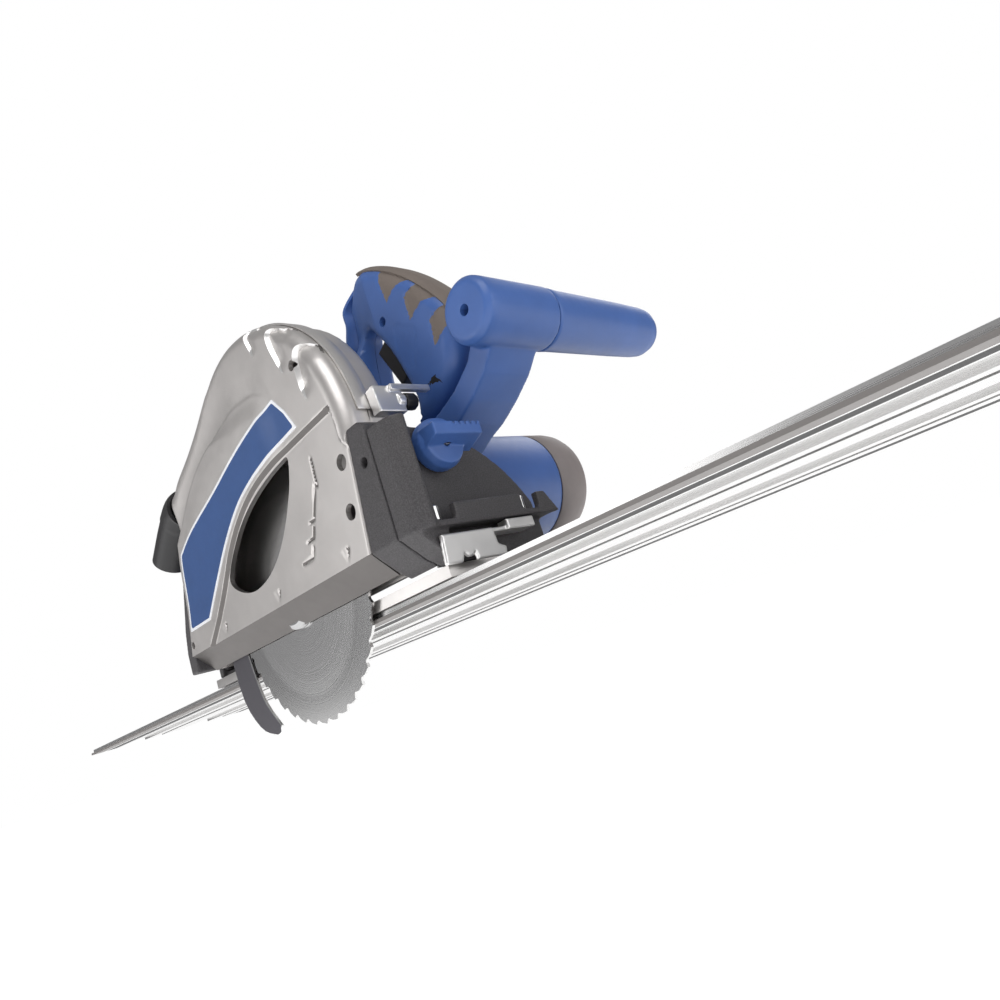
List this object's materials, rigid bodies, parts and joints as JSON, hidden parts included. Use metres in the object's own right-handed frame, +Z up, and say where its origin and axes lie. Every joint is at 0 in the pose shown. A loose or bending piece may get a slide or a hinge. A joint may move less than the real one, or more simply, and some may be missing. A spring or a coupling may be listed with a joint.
{
  "type": "track plunge saw",
  "caption": "Plunge-cut circular saw riding on a short aluminium guide rail, blade lowered, with bevel brackets, closed D-handle and bar handle.",
  "frame": {"origin": "on the underside of the guide rail, at the middle of its width, level with the cut mark at the middle of the guard", "axes": "+X is the feed direction along the rail, +Y points from the blade to the motor, +Z is up from the work"},
  "size_m": [0.9, 0.221, 0.2682],
  "materials": {
    "rail_aluminium": "bright drawn, lengthwise lines",
    "splinter_grey": "satin strip",
    "grip_black": "matt foam rubber",
    "cast_aluminium": "fine satin, lightly blasted",
    "pale_aluminium": "satin sheet",
    "dark_casting": "speckled dark coat",
    "fastener_steel": "turned steel",
    "spring_steel": "oiled wire",
    "bright_metal": "bright plated",
    "blue_plastic": "fine-grained moulding",
    "label_blue": "printed film",
    "grey_plastic": "fine-grained moulding",
    "black_plastic": "moulded",
    "soft_grip": "matt soft grip",
    "knife_steel": "dark blued steel with bright edge",
    "blade_steel": "polished in rings",
    "gear_steel": "ground and greased",
    "lamination_steel": "stacked sheet",
    "copper_winding": "varnished windings"
  },
  "bodies": {
    "rail": {"guide_rail": "rail_aluminium", "splinter_strip": "splinter_grey", "grip_strip_inner": "grip_black", "grip_strip_outer": "grip_black", "glide_strip": "splinter_grey"},
    "base": {"base_plate": "cast_aluminium", "front_bracket": "dark_casting", "guide_screw_1": "fastener_steel", "guide_screw_2": "fastener_steel", "cut_line_plate": "pale_aluminium", "rear_bracket": "dark_casting", "bevel_bolt_front": "fastener_steel", "bevel_bolt_rear": "fastener_steel"},
    "front_knob": {"bevel_knob_front": "blue_plastic"},
    "rear_knob": {"bevel_knob_rear": "blue_plastic"},
    "cam_front": {"rail_cam_front": "black_plastic"},
    "cam_rear": {"rail_cam_rear": "black_plastic"},
    "guard": {"guard_outer_shell": "cast_aluminium", "label_plate": "label_blue", "guard_inner_shell": "cast_aluminium", "plunge_pivot_pin": "fastener_steel", "front_casting": "dark_casting", "front_protractor": "pale_aluminium", "rear_protractor": "dark_casting", "depth_scale": "pale_aluminium", "plunge_spring": "spring_steel"},
    "dust": {"dust_port": "black_plastic"},
    "stop": {"depth_stop": "bright_metal"},
    "stop_knob": {"depth_stop_knob": "black_plastic"},
    "plunge": {"gearbox_housing": "cast_aluminium", "gearbox_cover": "cast_aluminium", "spindle_bearing": "fastener_steel", "armature_bearing": "fastener_steel", "motor_housing": "blue_plastic", "brush_cap_1": "black_plastic", "brush_cap_2": "black_plastic", "motor_end_cap": "grey_plastic", "stator": "lamination_steel", "handle_right_shell": "blue_plastic", "handle_left_shell": "blue_plastic", "switch_body": "black_plastic", "grip_pad": "soft_grip", "cord_gland": "black_plastic", "front_arm": "blue_plastic", "front_bar_grip": "blue_plastic", "riving_knife": "knife_steel", "knife_screw": "fastener_steel"},
    "trigger": {"trigger": "black_plastic"},
    "release": {"plunge_release_button": "black_plastic"},
    "lock": {"spindle_lock_button": "black_plastic"},
    "blade": {"saw_blade": "blade_steel", "outer_flange": "fastener_steel", "inner_flange": "fastener_steel", "blade_bolt": "fastener_steel", "spindle": "fastener_steel", "spindle_gear": "gear_steel"},
    "idler": {"idler_gear": "gear_steel"},
    "armature": {"armature_shaft": "gear_steel", "cooling_fan": "black_plastic", "armature_core": "copper_winding"}
  },
  "joints": [
    {"name": "rail_slide", "type": "slide", "parent": "rail", "child": "base", "axis": [1, 0, 0], "range_m": [-0.14, 0.23]},
    {"name": "front_knob_turn", "type": "hinge", "parent": "base", "child": "front_knob", "pos_m": [0.145, -0.07748, 0.07529], "axis": [1, 0, 0], "range_deg": [-100, 0]},
    {"name": "rear_knob_turn", "type": "hinge", "parent": "base", "child": "rear_knob", "pos_m": [-0.168, -0.07748, 0.07529], "axis": [1, 0, 0], "range_deg": [0, 100]},
    {"name": "cam_front_turn", "type": "hinge", "parent": "base", "child": "cam_front", "pos_m": [0.098, -0.04, 0.015], "axis": [0, 0, 1], "range_deg": [0, 90]},
    {"name": "cam_rear_turn", "type": "hinge", "parent": "base", "child": "cam_rear", "pos_m": [-0.098, -0.04, 0.015], "axis": [0, 0, 1], "range_deg": [0, 90]},
    {"name": "bevel_tilt", "type": "hinge", "parent": "base", "child": "guard", "pos_m": [0, -0.095, 0], "axis": [1, 0, 0], "range_deg": [0, 45]},
    {"name": "dust_swivel", "type": "hinge", "parent": "guard", "child": "dust", "pos_m": [-0.119, -0.101, 0.139], "axis": [1, 0, 0], "range_deg": [-75, 75]},
    {"name": "depth_stop_set", "type": "hinge", "parent": "guard", "child": "stop", "pos_m": [0.015, -0.095, 0.1], "axis": [0, -1, 0], "range_deg": [0, 55]},
    {"name": "depth_knob_turn", "type": "hinge", "parent": "stop", "child": "stop_knob", "pos_m": [0.1206, -0.077, 0.10924], "axis": [0, 1, 0], "range_deg": [0, 180]},
    {"name": "plunge", "type": "hinge", "parent": "guard", "child": "plunge", "pos_m": [-0.124, -0.095, 0.043], "axis": [0, -1, 0], "range_deg": [0, 28]},
    {"name": "trigger_pull", "type": "slide", "parent": "plunge", "child": "trigger", "axis": [0.9135, 0, 0.4067], "range_m": [0, 0.005], "stiffness_N_per_m": 900, "springref_m": -0.003},
    {"name": "release_press", "type": "slide", "parent": "plunge", "child": "release", "axis": [0, -1, 0], "range_m": [0, 0.004], "stiffness_N_per_m": 600, "springref_m": -0.002},
    {"name": "spindle_lock_press", "type": "slide", "parent": "plunge", "child": "lock", "axis": [0, -1, 0], "range_m": [0, 0.004], "stiffness_N_per_m": 600, "springref_m": -0.002},
    {"name": "armature_spin", "type": "hinge", "parent": "plunge", "child": "armature", "pos_m": [0.0528, 0.005, 0.0723], "axis": [0, 1, 0], "continuous": true},
    {"name": "idler_spin", "type": "hinge", "parent": "plunge", "child": "idler", "pos_m": [0.02031, -0.07, 0.07137], "axis": [0, 1, 0], "continuous": true},
    {"name": "blade_spin", "type": "hinge", "parent": "plunge", "child": "blade", "pos_m": [-0.0095, -0.095, 0.0385], "axis": [0, 1, 0], "continuous": true}
  ],
  "couplings": [
    {"joint": "idler_spin", "follows": "armature_spin", "ratio": -0.2093},
    {"joint": "blade_spin", "follows": "armature_spin", "ratio": 0.32143}
  ]
}
